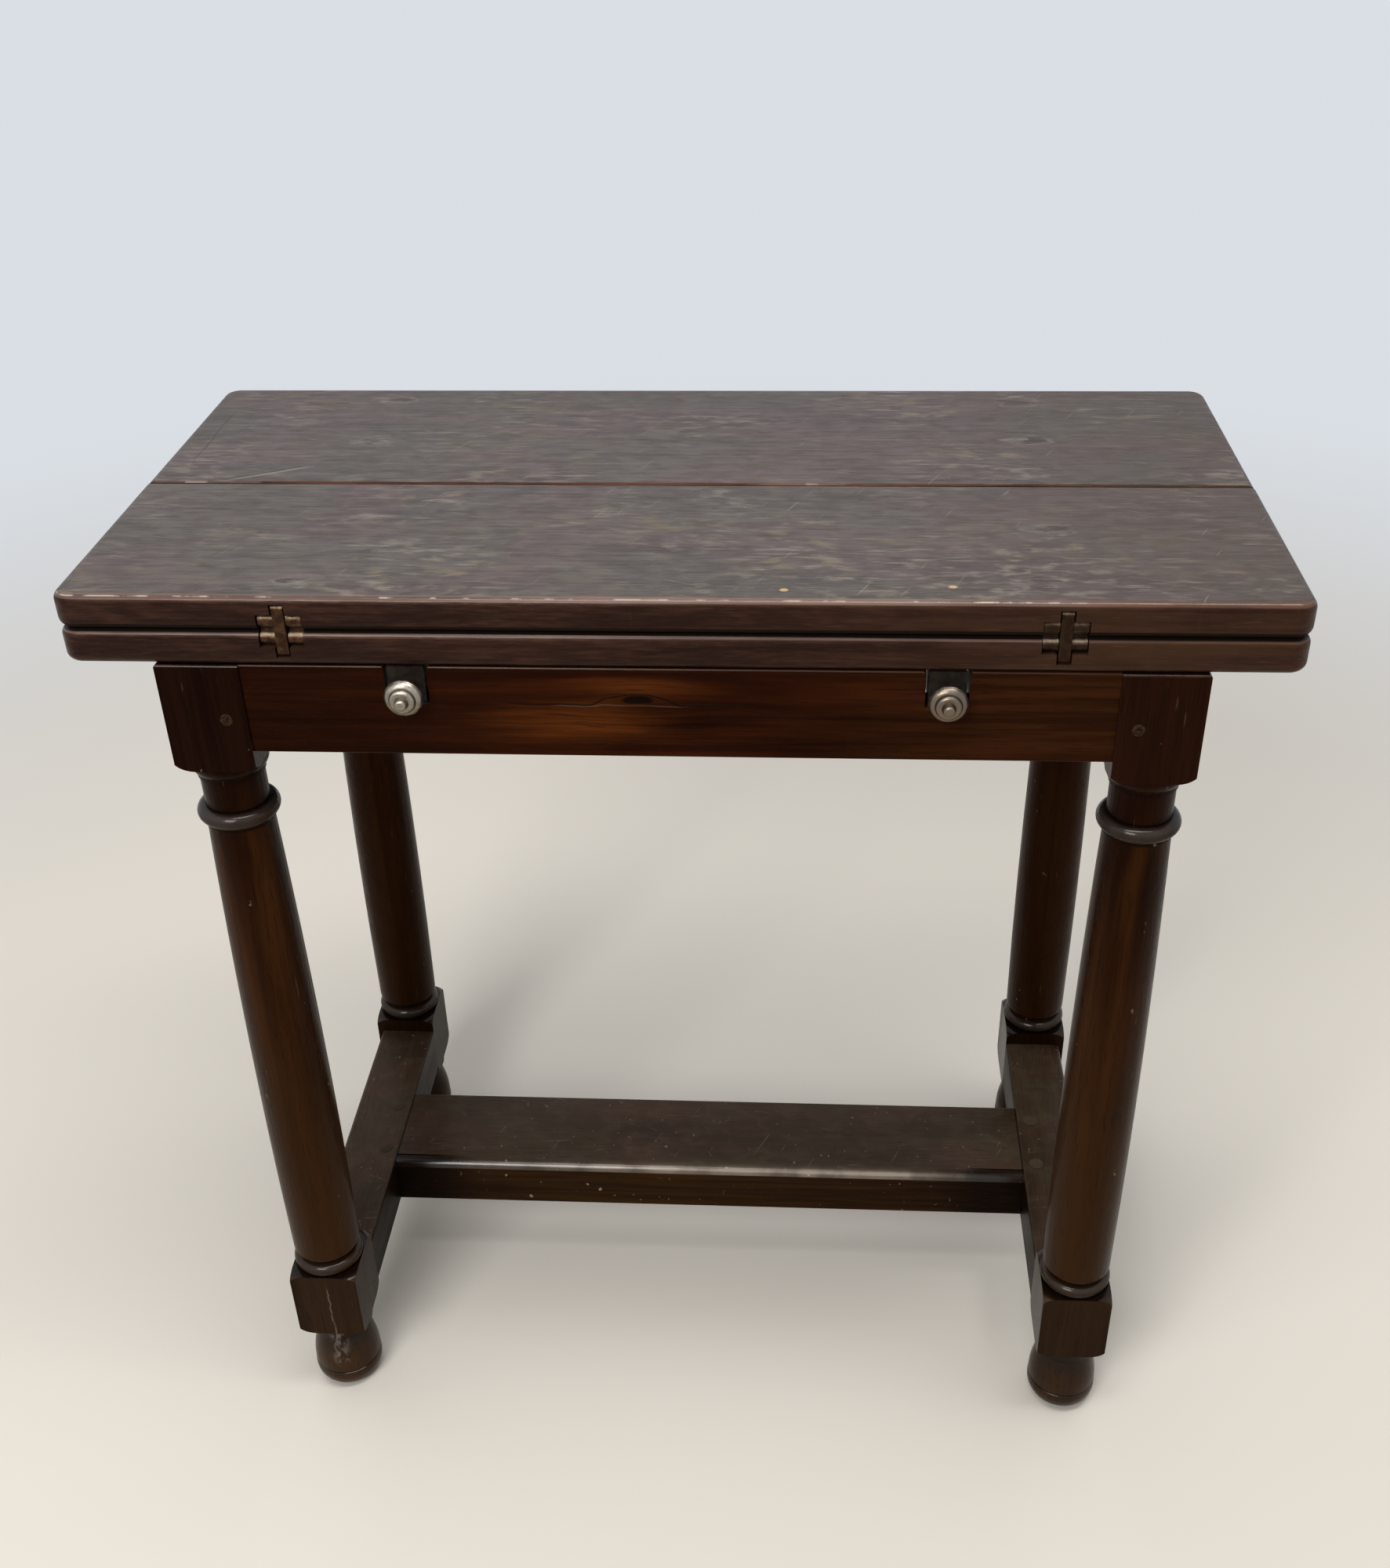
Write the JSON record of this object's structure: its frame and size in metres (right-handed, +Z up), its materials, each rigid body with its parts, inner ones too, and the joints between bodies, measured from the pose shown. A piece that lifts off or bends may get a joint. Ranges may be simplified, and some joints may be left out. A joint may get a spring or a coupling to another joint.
{
  "type": "flip-top table",
  "caption": "Flip-top oak table with turned legs and an H stretcher; two flaps fold out on double-pin link hinges over pull-out lopers",
  "frame": {"origin": "on the floor, midway between the four legs", "axes": "+X along the table to the right as seen from the front, +Y to the rear, +Z up; the front is -Y"},
  "size_m": [0.803, 0.434, 0.7684],
  "materials": {
    "stained_oak": "dark stained and waxed, worn",
    "oak_pegs": "dark stained, end grain showing",
    "hinge_brass": "browned, rubbed bright at edges",
    "pin_steel": "drawn wire",
    "screw_brass": "plain",
    "knob_brass": "aged, polished on the rims"
  },
  "bodies": {
    "frame": {"front_left_leg": "stained_oak", "front_right_leg": "stained_oak", "rear_left_leg": "stained_oak", "rear_right_leg": "stained_oak", "front_rail": "stained_oak", "rear_rail": "stained_oak", "left_side_rail": "stained_oak", "right_side_rail": "stained_oak", "loper_bearer": "stained_oak", "left_side_stretcher": "stained_oak", "right_side_stretcher": "stained_oak", "medial_stretcher": "stained_oak", "rail_pegs": "oak_pegs", "stretcher_pegs": "oak_pegs", "fixed_top": "stained_oak", "top_pegs": "oak_pegs", "front_left_fixed_plate": "hinge_brass", "front_right_fixed_plate": "hinge_brass", "rear_left_fixed_plate": "hinge_brass", "rear_right_fixed_plate": "hinge_brass", "fixed_hinge_pins": "pin_steel", "fixed_hinge_screws": "screw_brass"},
    "front_links": {"front_left_link": "hinge_brass", "front_right_link": "hinge_brass"},
    "front_leaf": {"front_flap": "stained_oak", "front_left_flap_plate": "hinge_brass", "front_right_flap_plate": "hinge_brass", "front_flap_pins": "pin_steel", "front_flap_screws": "screw_brass"},
    "rear_links": {"rear_left_link": "hinge_brass", "rear_right_link": "hinge_brass"},
    "rear_leaf": {"rear_flap": "stained_oak", "rear_left_flap_plate": "hinge_brass", "rear_right_flap_plate": "hinge_brass", "rear_flap_pins": "pin_steel", "rear_flap_screws": "screw_brass"},
    "front_left_pull_out": {"front_left_loper": "stained_oak", "front_left_knob": "knob_brass", "front_left_stop_peg": "oak_pegs"},
    "front_right_pull_out": {"front_right_loper": "stained_oak", "front_right_knob": "knob_brass", "front_right_stop_peg": "oak_pegs"},
    "rear_left_pull_out": {"rear_left_loper": "stained_oak", "rear_left_knob": "knob_brass", "rear_left_stop_peg": "oak_pegs"},
    "rear_right_pull_out": {"rear_right_loper": "stained_oak", "rear_right_knob": "knob_brass", "rear_right_stop_peg": "oak_pegs"}
  },
  "joints": [
    {"name": "front_link_swing", "type": "hinge", "parent": "frame", "child": "front_links", "pos_m": [0, -0.1887, 0.7374], "axis": [1, 0, 0], "range_deg": [0, 90]},
    {"name": "front_flap_turn", "type": "hinge", "parent": "front_links", "child": "front_leaf", "pos_m": [0, -0.1887, 0.7502], "axis": [1, 0, 0], "range_deg": [0, 90]},
    {"name": "rear_link_swing", "type": "hinge", "parent": "frame", "child": "rear_links", "pos_m": [0, 0.1959, 0.7374], "axis": [-1, 0, 0], "range_deg": [0, 90]},
    {"name": "rear_flap_turn", "type": "hinge", "parent": "rear_links", "child": "rear_leaf", "pos_m": [0, 0.1959, 0.7502], "axis": [-1, 0, 0], "range_deg": [0, 90]},
    {"name": "front_left_pull", "type": "slide", "parent": "frame", "child": "front_left_pull_out", "axis": [0, -1, 0], "range_m": [0, 0.15]},
    {"name": "front_right_pull", "type": "slide", "parent": "frame", "child": "front_right_pull_out", "axis": [0, -1, 0], "range_m": [0, 0.15]},
    {"name": "rear_left_pull", "type": "slide", "parent": "frame", "child": "rear_left_pull_out", "axis": [0, 1, 0], "range_m": [0, 0.15]},
    {"name": "rear_right_pull", "type": "slide", "parent": "frame", "child": "rear_right_pull_out", "axis": [0, 1, 0], "range_m": [0, 0.15]}
  ],
  "couplings": [
    {"joint": "front_flap_turn", "follows": "front_link_swing", "ratio": 1},
    {"joint": "rear_flap_turn", "follows": "rear_link_swing", "ratio": 1}
  ]
}
